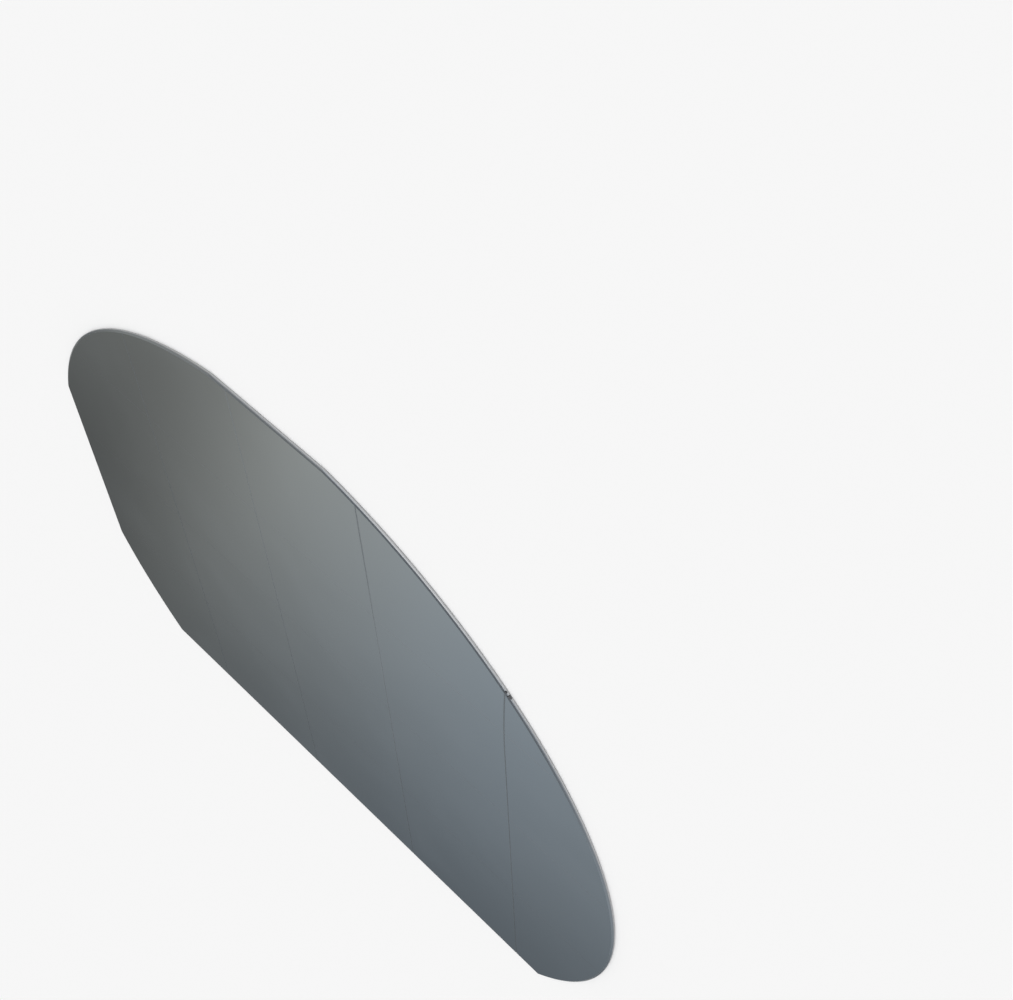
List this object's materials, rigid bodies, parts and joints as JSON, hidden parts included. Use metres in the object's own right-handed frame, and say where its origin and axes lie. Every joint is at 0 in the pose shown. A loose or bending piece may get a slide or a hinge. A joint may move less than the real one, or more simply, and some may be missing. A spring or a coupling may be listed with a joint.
{
  "type": "silicon carbide substrate",
  "caption": "Thin round silicon carbide wafer with two orientation flats, a ground rounded edge, a scribed grid, one straight broken edge and a chipped rim",
  "frame": {"origin": "on the axis of the whole disc, at the back face, which the wafer rests on", "axes": "+Z out of the polished face, -Y out of the primary flat, -X out of the secondary flat, +X out of the broken edge"},
  "size_m": [0.0817, 0.0973, 0.0005],
  "materials": {
    "silicon_carbide": "polished"
  },
  "bodies": {
    "root": {"wafer": "silicon_carbide"}
  },
  "joints": []
}
